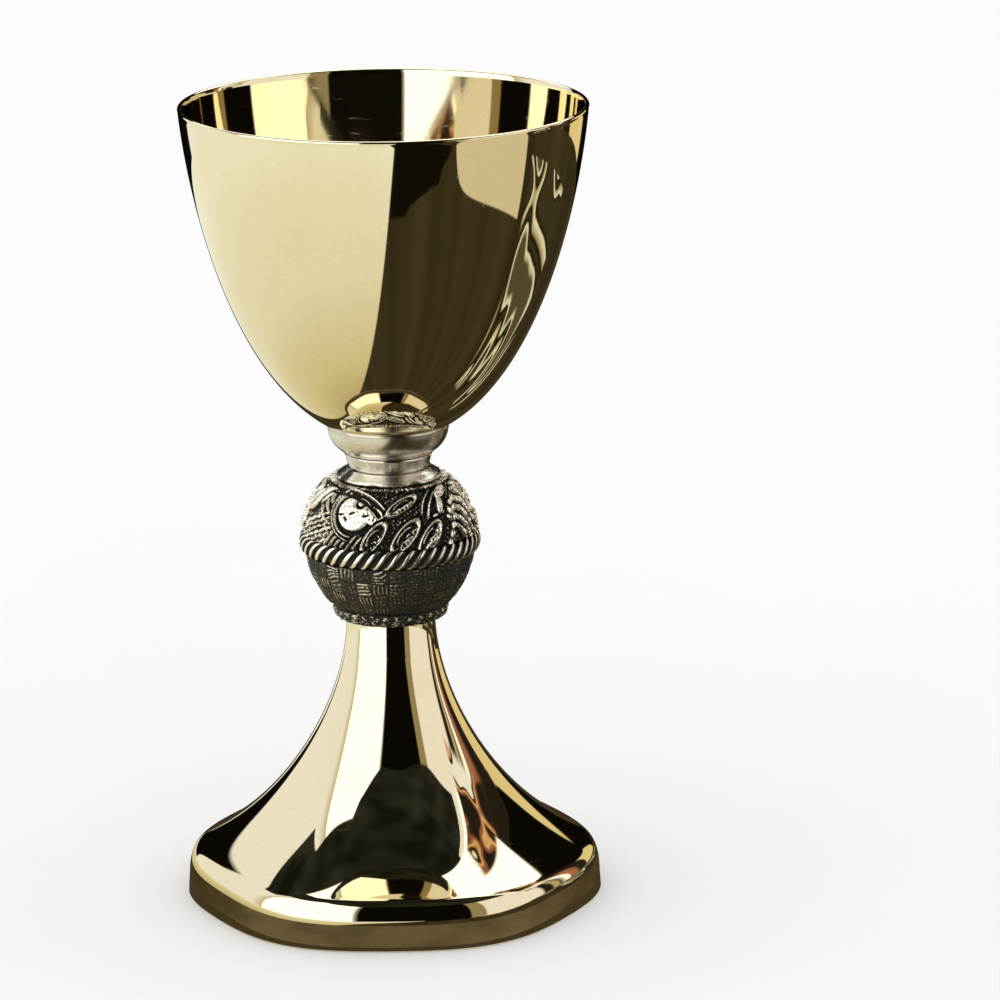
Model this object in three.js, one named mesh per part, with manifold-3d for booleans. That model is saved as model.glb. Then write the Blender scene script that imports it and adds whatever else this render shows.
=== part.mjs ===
// Communion chalice: a spun cup, a cast silver knop and a spun six-sided foot,
// stacked on one axis and drawn together by a tie rod with its nut inside the foot.
// Millimetres, +Z up. The origin is on the axis, in the plane that the foot stands on.
import * as THREE from "three";
import { mergeVertices } from "three/addons/utils/BufferGeometryUtils.js";
import Module from "manifold-3d";

const wasm = await Module();
wasm.setup();

// Overall sizes
const HEIGHT = 222;
const RIM_RADIUS = 55.5;
const FOOT_RADIUS = 57.6; // to a corner of the six-sided plan
const FIT = 0.3; // gap left between pieces that touch

// Cup
const CUP_WALL = 1.2;
const CUP_BASE_Z = 129.2; // underside of the cup on the axis
const CUP_BELLY = [37.4, CUP_BASE_Z]; // the two control points of the cup's curve
const CUP_SHOULDER = [52.5, 189.2];

// Collar and neck ring under the cup
const COLLAR_RADIUS = 16.8;
const COLLAR_TOP_Z = 133.8;
const COLLAR_FOOT_RADIUS = 12.5;
const COLLAR_FOOT_Z = 125.9;
const COLLAR_BELLY = [16.3, 128.3]; // control point of the collar's curve
const COLLAR_LIP_HEIGHT = 0.8; // the upright band at the collar's top
const COLLAR_LIP = 0.5; // how far the lip stands out past the cup it holds
const COLLAR_EDGE = 0.3;
const NECK_TOP_RADIUS = 12.1;
const NECK_FOOT_RADIUS = 11.3;
const NECK_FOOT_Z = 121.7;
const NECK_BEVEL = 0.4;

// Knop
const KNOP_CENTRE_Z = 100;
const UPPER_SPHERE_RADIUS = 24.6;
const LOWER_SPHERE_RADIUS = 23.4;
const KNOP_WALL = 1.8;
const SHOULDER_RADIUS = 14.6;
const SHOULDER_FOOT_Z = 118.9;
const SHOULDER_EDGE = 0.4;
const ROPE_RADIUS = 25;
const ROPE_TOP_Z = 103.5;
const ROPE_FOOT_Z = 98.1;
const ROPE_HALF_WIDTH = 1.5;
const UPSTAND_HEIGHT = 2; // of the basket's rim above the rope
const UPSTAND_WALL = 1.2;
const BASKET_FOOT_Z = 83.4;
const BRAID_TOP_RADIUS = 15.8;
const BRAID_FOOT_RADIUS = 14;
const BRAID_FOOT_Z = 79.3;
const BRAID_EDGE = 0.5;

// Foot
const FOOT_WALL = 1.2;
const STEM_RADIUS = 12.2;
const STEM_TOP_Z = 80;
const FLARE_END = [54, 13.9]; // where the flare stops and the edge rolls over
const FLARE_HEEL = [27.9, 27.4]; // the two control points of the flare's curve
const FLARE_NECK = [STEM_RADIUS, 57.1];
const SKIRT_TOP = [57.2, 6.8];
const EDGE_ROLL = [56.8, 12.4]; // control point of the roll-over
const LOBING = 0.018; // how far the six-sided plan swings either side of a circle
const LOBING_TOP_Z = 70; // the plan is round from here up
const HEM_HEIGHT = 2.2;
const HEM_WIDTH = 3;

// Tie rod and its fastening, an M6 set
const ROD_RADIUS = 3;
const ROD_FOOT_Z = 61;
const ROD_TOP_Z = 125;
const ROD_CHAMFER = 0.6;
const CLEARANCE_BORE = ROD_RADIUS + FIT;
const NUT_ACROSS_FLATS = 10;
const NUT_HEIGHT = 5;
const NUT_FOOT_Z = 64.3;
const NUT_CHAMFER = 0.7;

// Turned and stamped pieces inside the stack
const BOSS_FLANGE_RADIUS = 8.3;
const BOSS_FLANGE_Z = 123.7;
const BOSS_STUB_RADIUS = 5.6;
const BOSS_STUB_Z = 117.2;
const STUB_BORE = BOSS_STUB_RADIUS + FIT;
const FLANGE_BORE = BOSS_FLANGE_RADIUS + FIT;
const CENTRING_DISC_RADIUS = 11.6;
const CENTRING_DISC_HEIGHT = 1.4;
const SPIGOT_RADIUS = 12.3;
const SPIGOT_DEPTH = 2;
const SPACER_RADIUS = 5;
const BRAID_SPIGOT_RADIUS = 7.7;
const STEM_BUSH_RADIUS = 10.4;
const ROD_HOLE_RADIUS = 4; // through the top of the stem

// Washers
const CUP_WASHER_RADIUS = 9;
const CUP_WASHER_FLANGE = 2;
const CUP_WASHER_RISE = 0.6;
const CUP_WASHER_SHEET = 1.2;
const SPRING_WASHER_RADIUS = 5.4;
const SPRING_WASHER_HEIGHT = 1.4;
const SPRING_WASHER_SLOT = 0.8;

// Facets round each turned shape
const FINE = 48;
const MEDIUM = 36;
const COARSE = 24;

// Steps along the curved stretches of a profile
const CUP_STEPS = 10;
const SEAT_STEPS = 60; // over the whole cup
const FLARE_STEPS = 8;
const ROLL_STEPS = 2;
const BULGE_STEPS = 5;
const SPHERE_STEPS = 5;
const HOLLOW_STEPS = 4;
const ROPE_STEPS = 8;

const goldPlate = { color: 0xd8c690, metalness: 1, roughness: 0.1 };
const satinSilver = { color: 0xb9b2a8, metalness: 1, roughness: 0.35 };
const antiqueSilver = { color: 0x8b8780, metalness: 1, roughness: 0.5 };
const turnedBrass = { color: 0xb5995a, metalness: 1, roughness: 0.3 };
const platedSteel = { color: 0x9a9c9e, metalness: 1, roughness: 0.3 };

const chalice = new THREE.Group();

function addPiece(name, geometry, look) {
  const mesh = new THREE.Mesh(geometry, new THREE.MeshStandardMaterial(look));
  mesh.name = name;
  chalice.add(mesh);
}

// A profile in radius and height, turned round the +Z axis. One that ends off the axis closes on itself.
function turn(profile, facets) {
  const points = profile.map(([radius, z]) => new THREE.Vector2(radius, z));
  const first = points[0];
  const last = points[points.length - 1];
  if (first.x > 0 || last.x > 0) points.push(first.clone());
  return new THREE.LatheGeometry(points, facets).rotateX(Math.PI / 2);
}

// Points along a curve moved sideways, to the right of its direction of travel.
function offsetPoints(curve, steps, distance) {
  const points = [];
  for (let i = 0; i <= steps; i += 1) {
    const point = curve.getPoint(i / steps);
    const along = curve.getTangent(i / steps);
    points.push([point.x + along.y * distance, point.y - along.x * distance]);
  }
  return points;
}

// An arc of the knop's round section, between two heights.
function sphereArc(radius, fromZ, toZ, steps) {
  const fromAngle = Math.asin((fromZ - KNOP_CENTRE_Z) / radius);
  const toAngle = Math.asin((toZ - KNOP_CENTRE_Z) / radius);
  const points = [];
  for (let i = 0; i <= steps; i += 1) {
    const angle = fromAngle + ((toAngle - fromAngle) * i) / steps;
    points.push([radius * Math.cos(angle), KNOP_CENTRE_Z + radius * Math.sin(angle)]);
  }
  return points;
}

// A quarter-ellipse bulge between two points of a profile, leaving the first one upright.
function bulge([fromRadius, fromZ], [toRadius, toZ]) {
  const points = [];
  for (let i = 0; i <= BULGE_STEPS; i += 1) {
    const angle = (Math.PI / 2) * (i / BULGE_STEPS);
    const radius = toRadius + (fromRadius - toRadius) * Math.cos(angle);
    points.push([radius, fromZ + (toZ - fromZ) * Math.sin(angle)]);
  }
  return points;
}

// The foot's plan is a circle with six soft corners, fading to a true circle up the stem.
function makeSixSided(geometry) {
  const position = geometry.getAttribute("position");
  for (let i = 0; i < position.count; i += 1) {
    const x = position.getX(i);
    const y = position.getY(i);
    const fade = THREE.MathUtils.clamp(1 - position.getZ(i) / LOBING_TOP_Z, 0, 1);
    const swing = LOBING * Math.min(1, 2 * fade);
    const scale = (1 + swing * Math.cos(6 * Math.atan2(y, x))) / (1 + swing);
    position.setXY(i, x * scale, y * scale);
  }
  geometry.computeVertexNormals();
  return geometry;
}

function toSolid(geometry) {
  const bare = geometry.clone();
  bare.deleteAttribute("normal");
  bare.deleteAttribute("uv");
  const merged = mergeVertices(bare, 1e-4);
  const vertProperties = merged.getAttribute("position").array;
  const triVerts = new Uint32Array(merged.index.array);
  return new wasm.Manifold(new wasm.Mesh({ numProp: 3, vertProperties, triVerts }));
}

function toGeometry(solid) {
  const mesh = solid.getMesh();
  const geometry = new THREE.BufferGeometry();
  geometry.setAttribute("position", new THREE.BufferAttribute(mesh.vertProperties, 3));
  geometry.setIndex(new THREE.BufferAttribute(mesh.triVerts, 1));
  geometry.computeVertexNormals();
  return geometry;
}

// A Bezier curve in the profile plane, through [radius, z] control points.
function profileCurve(...controls) {
  const points = controls.map((control) => new THREE.Vector2(...control));
  if (points.length === 3) return new THREE.QuadraticBezierCurve(...points);
  return new THREE.CubicBezierCurve(...points);
}

const cupOutline = profileCurve([0, CUP_BASE_Z], CUP_BELLY, CUP_SHOULDER, [RIM_RADIUS, HEIGHT]);

// The cup's underside with the touching gap, from one radius out to another.
function underCup(minRadius, maxRadius) {
  const points = offsetPoints(cupOutline, SEAT_STEPS, FIT);
  return points.filter(([radius]) => radius >= minRadius && radius <= maxRadius);
}

function cupBowl() {
  const outside = offsetPoints(cupOutline, CUP_STEPS, 0);
  const inside = offsetPoints(cupOutline, CUP_STEPS, -CUP_WALL).reverse();
  inside[0] = [RIM_RADIUS - CUP_WALL, HEIGHT];
  inside[CUP_STEPS] = [0, CUP_BASE_Z + CUP_WALL];
  return turn([...outside, ...inside], FINE);
}

function cupBoss() {
  const seat = underCup(0, BOSS_FLANGE_RADIUS).reverse();
  const socketTop = ROD_TOP_Z + FIT;
  return turn(
    [
      [0, socketTop],
      [CLEARANCE_BORE, socketTop],
      [CLEARANCE_BORE, BOSS_STUB_Z],
      [BOSS_STUB_RADIUS, BOSS_STUB_Z],
      [BOSS_STUB_RADIUS, BOSS_FLANGE_Z],
      [BOSS_FLANGE_RADIUS, BOSS_FLANGE_Z],
      ...seat,
    ],
    COARSE,
  );
}

function seatCollar() {
  const lipFoot = [COLLAR_RADIUS, COLLAR_TOP_Z - COLLAR_LIP_HEIGHT];
  const foot = [COLLAR_FOOT_RADIUS, COLLAR_FOOT_Z + COLLAR_EDGE];
  const skin = offsetPoints(profileCurve(lipFoot, COLLAR_BELLY, foot), BULGE_STEPS, 0);
  const seat = underCup(FLANGE_BORE, COLLAR_RADIUS - COLLAR_LIP);
  return turn(
    [
      [FLANGE_BORE, COLLAR_FOOT_Z],
      [COLLAR_FOOT_RADIUS - COLLAR_EDGE, COLLAR_FOOT_Z],
      ...skin.reverse(),
      [COLLAR_RADIUS, COLLAR_TOP_Z - COLLAR_EDGE],
      [COLLAR_RADIUS - COLLAR_EDGE, COLLAR_TOP_Z],
      ...[...seat].reverse(),
      [FLANGE_BORE, seat[0][1]],
    ],
    MEDIUM,
  );
}

function neckRing() {
  const topZ = COLLAR_FOOT_Z - FIT;
  const ledgeZ = BOSS_FLANGE_Z - FIT;
  return turn(
    [
      [STUB_BORE, NECK_FOOT_Z],
      [NECK_FOOT_RADIUS, NECK_FOOT_Z],
      [NECK_FOOT_RADIUS + NECK_BEVEL / 2, NECK_FOOT_Z + NECK_BEVEL],
      [NECK_TOP_RADIUS, topZ],
      [FLANGE_BORE, topZ],
      [FLANGE_BORE, ledgeZ],
      [STUB_BORE, ledgeZ],
    ],
    MEDIUM,
  );
}

function shoulderRing() {
  const topZ = NECK_FOOT_Z - FIT;
  const brimFoot = [SHOULDER_RADIUS, SHOULDER_FOOT_Z + SHOULDER_EDGE];
  const brim = bulge(brimFoot, [NECK_FOOT_RADIUS + SHOULDER_EDGE, topZ]);
  return turn(
    [
      [STUB_BORE, SHOULDER_FOOT_Z - SPIGOT_DEPTH],
      [SPIGOT_RADIUS, SHOULDER_FOOT_Z - SPIGOT_DEPTH],
      [SPIGOT_RADIUS, SHOULDER_FOOT_Z],
      [SHOULDER_RADIUS, SHOULDER_FOOT_Z],
      ...brim,
      [STUB_BORE, topZ],
    ],
    MEDIUM,
  );
}

function knopUpperShell() {
  const topZ = SHOULDER_FOOT_Z - FIT;
  const footZ = ROPE_TOP_Z + FIT;
  const innerRadius = UPPER_SPHERE_RADIUS - KNOP_WALL;
  const bore = SPIGOT_RADIUS + FIT;
  return turn(
    [
      ...sphereArc(UPPER_SPHERE_RADIUS, footZ, topZ, SPHERE_STEPS),
      [bore, topZ],
      [bore, topZ - KNOP_WALL],
      ...sphereArc(innerRadius, topZ - KNOP_WALL, footZ, HOLLOW_STEPS),
    ],
    MEDIUM,
  );
}

// The rope is a ring of oval section on the basket's upstand.
function knopRopeBand() {
  const middleZ = (ROPE_TOP_Z + ROPE_FOOT_Z) / 2;
  const halfHeight = (ROPE_TOP_Z - ROPE_FOOT_Z) / 2;
  const profile = [];
  for (let i = 0; i < ROPE_STEPS; i += 1) {
    const angle = (2 * Math.PI * i) / ROPE_STEPS;
    const radius = ROPE_RADIUS - ROPE_HALF_WIDTH + ROPE_HALF_WIDTH * Math.cos(angle);
    profile.push([radius, middleZ + halfHeight * Math.sin(angle)]);
  }
  return turn(profile, FINE);
}

// The basket's upstand passes inside the rope and centres the upper shell.
function knopLowerShell() {
  const floorZ = BASKET_FOOT_Z + KNOP_WALL;
  const ledgeZ = ROPE_FOOT_Z - FIT;
  const upstandZ = ROPE_TOP_Z + UPSTAND_HEIGHT;
  const upstandRadius = ROPE_RADIUS - 2 * ROPE_HALF_WIDTH - FIT;
  const upstandBore = upstandRadius - UPSTAND_WALL;
  const innerRadius = LOWER_SPHERE_RADIUS - KNOP_WALL;
  const bore = BRAID_SPIGOT_RADIUS + FIT;
  return turn(
    [
      [bore, BASKET_FOOT_Z],
      ...sphereArc(LOWER_SPHERE_RADIUS, BASKET_FOOT_Z, ledgeZ, SPHERE_STEPS),
      [upstandRadius, ledgeZ],
      [upstandRadius, upstandZ],
      [upstandBore, upstandZ],
      [upstandBore, ledgeZ],
      ...sphereArc(innerRadius, ledgeZ - KNOP_WALL, floorZ, HOLLOW_STEPS),
      [bore, floorZ],
    ],
    MEDIUM,
  );
}

// The braid ring has a recess that drops over the top of the foot's stem.
function knopBaseBraid() {
  const topZ = BASKET_FOOT_Z - FIT;
  const recessRadius = STEM_RADIUS + FIT;
  const recessZ = STEM_TOP_Z + FIT;
  const spigotZ = BASKET_FOOT_Z + KNOP_WALL - FIT;
  const foot = [BRAID_FOOT_RADIUS, BRAID_FOOT_Z + BRAID_EDGE / 2];
  const skin = bulge([BRAID_TOP_RADIUS, topZ - BRAID_EDGE], foot);
  return turn(
    [
      [CLEARANCE_BORE, recessZ],
      [recessRadius, recessZ],
      [recessRadius, BRAID_FOOT_Z],
      [BRAID_FOOT_RADIUS - BRAID_EDGE, BRAID_FOOT_Z],
      ...skin.reverse(),
      [BRAID_TOP_RADIUS - BRAID_EDGE, topZ],
      [BRAID_SPIGOT_RADIUS, topZ],
      [BRAID_SPIGOT_RADIUS, spigotZ],
      [CLEARANCE_BORE, spigotZ],
    ],
    MEDIUM,
  );
}

// A plain round piece with a bore, standing on a height.
function bush(radius, bore, footZ, height) {
  return turn(
    [
      [bore, footZ],
      [radius, footZ],
      [radius, footZ + height],
      [bore, footZ + height],
    ],
    COARSE,
  );
}

function footShell() {
  const flare = profileCurve(FLARE_END, FLARE_HEEL, FLARE_NECK, [STEM_RADIUS, STEM_TOP_Z]);
  const rollOver = profileCurve(SKIRT_TOP, EDGE_ROLL, FLARE_END);
  const ceilingZ = STEM_TOP_Z - FOOT_WALL;
  const outside = [
    ...offsetPoints(rollOver, ROLL_STEPS, 0).slice(0, -1),
    ...offsetPoints(flare, FLARE_STEPS, 0),
  ];
  const inside = [
    ...offsetPoints(rollOver, ROLL_STEPS, -FOOT_WALL).slice(0, -1),
    ...offsetPoints(flare, FLARE_STEPS, -FOOT_WALL).filter(([, z]) => z < ceilingZ),
    [STEM_RADIUS - FOOT_WALL, ceilingZ],
  ];
  return makeSixSided(
    turn(
      [
        [FOOT_RADIUS - FOOT_WALL, 0],
        [FOOT_RADIUS, 0],
        ...outside,
        [ROD_HOLE_RADIUS, STEM_TOP_Z],
        [ROD_HOLE_RADIUS, ceilingZ],
        ...inside.reverse(),
      ],
      FINE,
    ),
  );
}

// The hem is a flat ring soldered inside the skirt, level with its edge.
function footHemRing() {
  const outer = FOOT_RADIUS - FOOT_WALL - FIT;
  const inner = outer - HEM_WIDTH;
  return makeSixSided(
    turn(
      [
        [inner, 0],
        [outer, 0],
        [outer, HEM_HEIGHT],
        [inner, HEM_HEIGHT],
      ],
      FINE,
    ),
  );
}

function tieRod() {
  const tip = ROD_RADIUS - ROD_CHAMFER;
  return turn(
    [
      [0, ROD_FOOT_Z],
      [tip, ROD_FOOT_Z],
      [ROD_RADIUS, ROD_FOOT_Z + ROD_CHAMFER],
      [ROD_RADIUS, ROD_TOP_Z - ROD_CHAMFER],
      [tip, ROD_TOP_Z],
      [0, ROD_TOP_Z],
    ],
    COARSE,
  );
}

// A cup washer: its rim turns up round the bush above it.
function cupWasher(footZ) {
  const flatRadius = CUP_WASHER_RADIUS - CUP_WASHER_FLANGE;
  return turn(
    [
      [CLEARANCE_BORE, footZ],
      [flatRadius, footZ],
      [CUP_WASHER_RADIUS, footZ + CUP_WASHER_RISE],
      [CUP_WASHER_RADIUS, footZ + CUP_WASHER_RISE + CUP_WASHER_SHEET],
      [flatRadius, footZ + CUP_WASHER_SHEET],
      [CLEARANCE_BORE, footZ + CUP_WASHER_SHEET],
    ],
    COARSE,
  );
}

// A split spring washer: a square-section ring with a narrow slot through one side.
function springWasher(footZ) {
  const outer = SPRING_WASHER_RADIUS;
  const slot = new THREE.BoxGeometry(outer, SPRING_WASHER_SLOT, 3 * SPRING_WASHER_HEIGHT);
  slot.translate(outer, 0, footZ);
  const ring = bush(outer, CLEARANCE_BORE, footZ, SPRING_WASHER_HEIGHT);
  return toGeometry(toSolid(ring).subtract(toSolid(slot)));
}

function hexNut() {
  const cornerRadius = NUT_ACROSS_FLATS / Math.sqrt(3);
  const outline = new THREE.Shape();
  for (let i = 0; i < 6; i += 1) {
    const angle = (Math.PI / 3) * i;
    const corner = [cornerRadius * Math.cos(angle), cornerRadius * Math.sin(angle)];
    if (i === 0) outline.moveTo(...corner);
    else outline.lineTo(...corner);
  }
  outline.closePath();
  const prism = new THREE.ExtrudeGeometry(outline, { depth: NUT_HEIGHT, bevelEnabled: false });
  prism.translate(0, 0, NUT_FOOT_Z);
  const washerFace = NUT_ACROSS_FLATS / 2;
  const topZ = NUT_FOOT_Z + NUT_HEIGHT;
  const chamfered = turn(
    [
      [CLEARANCE_BORE, NUT_FOOT_Z],
      [washerFace, NUT_FOOT_Z],
      [washerFace + 2 * NUT_CHAMFER, NUT_FOOT_Z + NUT_CHAMFER],
      [washerFace + 2 * NUT_CHAMFER, topZ - NUT_CHAMFER],
      [washerFace, topZ],
      [CLEARANCE_BORE, topZ],
    ],
    COARSE,
  );
  return toGeometry(toSolid(prism).intersect(toSolid(chamfered)));
}

// Inside the knop, from the top down: disc, spacer tube, disc.
const upperDiscZ = SHOULDER_FOOT_Z - SPIGOT_DEPTH - FIT - CENTRING_DISC_HEIGHT;
const lowerDiscZ = BASKET_FOOT_Z + KNOP_WALL + FIT;
const spacerZ = lowerDiscZ + CENTRING_DISC_HEIGHT + FIT;
const spacerHeight = upperDiscZ - FIT - spacerZ;

// Inside the stem, from the nut up: nut, spring washer, cup washer, bush.
const springWasherZ = NUT_FOOT_Z + NUT_HEIGHT + FIT;
const cupWasherZ = springWasherZ + SPRING_WASHER_HEIGHT + FIT;
const stemBushZ = cupWasherZ + CUP_WASHER_RISE + CUP_WASHER_SHEET + FIT;
const stemBushHeight = STEM_TOP_Z - FOOT_WALL - FIT - stemBushZ;

addPiece("cup_bowl", cupBowl(), goldPlate);
addPiece("cup_boss", cupBoss(), turnedBrass);
addPiece("seat_collar", seatCollar(), satinSilver);
addPiece("neck_ring", neckRing(), satinSilver);
addPiece("knop_shoulder_ring", shoulderRing(), antiqueSilver);
addPiece("knop_upper_shell", knopUpperShell(), antiqueSilver);
addPiece("knop_rope_band", knopRopeBand(), antiqueSilver);
addPiece("knop_lower_shell", knopLowerShell(), antiqueSilver);
addPiece("knop_base_braid", knopBaseBraid(), antiqueSilver);
addPiece(
  "upper_centring_disc",
  bush(CENTRING_DISC_RADIUS, CLEARANCE_BORE, upperDiscZ, CENTRING_DISC_HEIGHT),
  turnedBrass,
);
addPiece("spacer_tube", bush(SPACER_RADIUS, CLEARANCE_BORE, spacerZ, spacerHeight), turnedBrass);
addPiece(
  "lower_centring_disc",
  bush(CENTRING_DISC_RADIUS, CLEARANCE_BORE, lowerDiscZ, CENTRING_DISC_HEIGHT),
  turnedBrass,
);
addPiece("foot_shell", footShell(), goldPlate);
addPiece("foot_hem_ring", footHemRing(), goldPlate);
addPiece("stem_bush", bush(STEM_BUSH_RADIUS, CLEARANCE_BORE, stemBushZ, stemBushHeight), turnedBrass);
addPiece("tie_rod", tieRod(), platedSteel);
addPiece("cup_washer", cupWasher(cupWasherZ), platedSteel);
addPiece("spring_washer", springWasher(springWasherZ), platedSteel);
addPiece("hex_nut", hexNut(), platedSteel);

export default chalice;
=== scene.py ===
import math
from types import SimpleNamespace

import bmesh
import bpy
import numpy as np
from mathutils import Euler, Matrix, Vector


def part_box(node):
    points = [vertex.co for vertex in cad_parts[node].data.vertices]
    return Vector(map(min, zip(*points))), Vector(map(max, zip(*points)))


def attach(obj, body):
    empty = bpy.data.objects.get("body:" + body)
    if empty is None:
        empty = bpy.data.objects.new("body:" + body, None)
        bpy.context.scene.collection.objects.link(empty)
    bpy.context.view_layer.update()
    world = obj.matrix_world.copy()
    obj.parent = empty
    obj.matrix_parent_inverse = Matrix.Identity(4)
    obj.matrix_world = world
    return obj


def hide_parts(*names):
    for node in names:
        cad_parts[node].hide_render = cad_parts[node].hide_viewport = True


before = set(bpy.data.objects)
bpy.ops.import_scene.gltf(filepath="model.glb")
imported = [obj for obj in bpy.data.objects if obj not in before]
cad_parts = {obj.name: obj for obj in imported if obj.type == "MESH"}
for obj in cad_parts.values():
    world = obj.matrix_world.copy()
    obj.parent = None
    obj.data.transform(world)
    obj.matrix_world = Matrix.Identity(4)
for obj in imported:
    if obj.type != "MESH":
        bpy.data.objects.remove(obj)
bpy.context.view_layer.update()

# Shapes are worked out in millimetres, then scaled to Blender's metres.
MM = 0.001
TURN = 2 * math.pi

# Driving dimensions that the frame's boxes don't hold
CUP_WALL = 1.2
CUP_BELLY = (37.4, 0)  # control point of the cup's curve: radius, height over its base
CUP_SHOULDER = (52.5, 60.0)  # the curve's next control point, given the same way
COLLAR_BELLY = (16.3, 2.4)  # control point of the collar's curve: radius, height over its foot
FOOT_WALL = 1.2
STEM_RADIUS = 12.2
STEM_TAPER = (52, 70, 82)  # heights where its shading starts to lean, leans fully and stops
STEM_LEAN = 4.5  # degrees
FLARE_END = (54, 13.9)  # where the flare meets the rolled edge: radius, height, as in the next four
FLARE_HEEL = (27.9, 27.4)
FLARE_NECK = (STEM_RADIUS, 57.1)
EDGE_ROLL = (56.8, 12.4)
SKIRT_TOP = (57.2, 6.8)
LOBING = 0.018  # how far the foot's corners stand out, as a share of its radius
LOBING_TOP = 70  # the height over which the foot is round
KNOP_CENTRE = 100
UPPER_RADIUS = 24.6
LOWER_RADIUS = 23.4
KNOP_WALL = 1.8
GAP = 0.3  # between pieces that are brazed or clamped together
ROD_BORE = 3.3
PITCH = 1  # of the M6 thread

ROUND = 288  # columns round a polished piece
SILVER_ROUND = 192  # columns round a satin silver piece
COARSE_ROUND = 96  # columns round a small turned piece
RELIEF_ROUND = 720  # columns round the cast relief
STUDIO_ROUND = 192  # columns round the studio
UNRUBBED = 0.3  # how bright a cast piece's hidden side is, 0 to 1


# ---------------------------------------------------------------- curves

def node_box(node):
    """A CAD node's lowest and highest corners, in millimetres."""
    low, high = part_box(node)
    return Vector(low) / MM, Vector(high) / MM


def bezier(controls, steps):
    points = np.array(controls, dtype=float)[None] * np.ones((steps + 1, 1, 1))
    along = np.linspace(0, 1, steps + 1)[:, None, None]
    while points.shape[1] > 1:
        points = points[:, :-1] * (1 - along) + points[:, 1:] * along
    return points[:, 0]


def offset(curve, distance):
    """The curve moved sideways, to the left of its direction of travel."""
    along = np.gradient(curve, axis=0)
    along /= np.linalg.norm(along, axis=1)[:, None]
    return curve + distance * np.stack([-along[:, 1], along[:, 0]], axis=1)


def arc(centre, radius, start, end, steps):
    """Points on a circle in the profile plane; a pair of radii makes an ellipse. Angles in degrees."""
    angle = np.radians(np.linspace(start, end, steps + 1))
    wide, high = radius if isinstance(radius, tuple) else (radius, radius)
    return np.stack([centre[0] + wide * np.cos(angle), centre[1] + high * np.sin(angle)], axis=1)


def rounded(corners, radius, steps=4):
    """A closed profile with every corner rounded by a short curve."""
    corners = np.array(corners, dtype=float)
    points = []
    for before, corner, after in zip(np.roll(corners, 1, 0), corners, np.roll(corners, -1, 0)):
        reach_in = min(radius, np.linalg.norm(before - corner) * 0.45)
        reach_out = min(radius, np.linalg.norm(after - corner) * 0.45)
        start = corner + (before - corner) / np.linalg.norm(before - corner) * reach_in
        end = corner + (after - corner) / np.linalg.norm(after - corner) * reach_out
        points.append(bezier([start, corner, end], steps))
    return np.concatenate(points)


# ---------------------------------------------------------------- meshes

def around(radius, z, angle):
    """Rows of points round the axis, each at its radius, height and angle from +X."""
    x, y = radius * np.cos(angle), radius * np.sin(angle)
    return np.stack([x, y, z * np.ones_like(x)], axis=-1)


def from_front(angle):
    """An angle from -Y, the front, as an angle from +X."""
    return angle - TURN / 4


def revolve(profile, columns):
    """A grid of points: the profile at each of the columns round the axis."""
    return around(profile[:, :1], profile[:, 1:], np.arange(columns) * TURN / columns)


def six_sided(grid):
    """Draws the round grid towards a hexagon with soft corners, less and less up the stem."""
    angle = np.arctan2(grid[..., 1], grid[..., 0])
    fade = np.clip(1 - grid[..., 2] / LOBING_TOP, 0, 1)
    swing = LOBING * np.minimum(1, 2 * fade)
    scale = (1 + swing * np.cos(6 * angle)) / (1 + swing)
    grid[..., :2] *= scale[..., None]
    return grid


def grid_mesh(name, grid, closed):
    """A mesh from rows of points, each row once round; closed joins the last row to the first."""
    rows, columns, _ = grid.shape
    index = np.arange(rows * columns).reshape(rows, columns)
    lower = index if closed else index[:-1]
    upper = np.roll(index, -1, axis=0) if closed else index[1:]
    quads = np.stack([lower, np.roll(lower, -1, 1), np.roll(upper, -1, 1), upper], axis=-1)
    mesh = bpy.data.meshes.new(name)
    mesh.from_pydata((grid.reshape(-1, 3) * MM).tolist(), [], quads.reshape(-1, 4).tolist())
    return mesh


def linked(mesh, look):
    """An object in the scene, named after its mesh."""
    made = bpy.data.objects.new(mesh.name, mesh)
    bpy.context.scene.collection.objects.link(made)
    mesh.materials.append(look)
    return made


def piece(name, grid, node, look, relief=None, closed=True, crease=40):
    """A smooth piece of the chalice that stands for a CAD node; relief says how rubbed each point is."""
    mesh = grid_mesh(name, grid, closed)
    if relief is not None:
        layer = mesh.attributes.new("relief", "FLOAT", "POINT")
        layer.data.foreach_set("value", relief.astype(np.float32).ravel())
    tidy(mesh)
    mesh.polygons.foreach_set("use_smooth", [True] * len(mesh.polygons))
    mesh.set_sharp_from_angle(angle=math.radians(crease))
    made = linked(mesh, look)
    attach(made, "root")
    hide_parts(node)


def tidy(mesh):
    """Joins the points at a pole, drops the empty faces there and turns every face outwards."""
    close = 1e-7
    work = bmesh.new()
    work.from_mesh(mesh)
    poles = [vertex for vertex in work.verts if vertex.co.xy.length < close]
    bmesh.ops.remove_doubles(work, verts=poles, dist=close)
    bmesh.ops.recalc_face_normals(work, faces=work.faces)
    work.to_mesh(mesh)
    work.free()


# ---------------------------------------------------------------- materials

def add(tree, kind, inputs=None, **settings):
    """A shader node, with its settings, and each input set to a value or linked to an output."""
    made = tree.nodes.new(kind)
    for key, value in settings.items():
        setattr(made, key, value)
    for key, value in (inputs or {}).items():
        if isinstance(value, bpy.types.NodeSocket):
            tree.links.new(value, made.inputs[key])
        else:
            made.inputs[key].default_value = value
    return made


def sums(tree, operation, first, second=0.0, third=0.0):
    return add(tree, "ShaderNodeMath", {0: first, 1: second, 2: third}, operation=operation).outputs[0]


def both(tree, first, second):
    return sums(tree, "MULTIPLY", first, second)


def without(tree, value):
    """What is left of 1."""
    return sums(tree, "SUBTRACT", 1.0, value)


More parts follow.
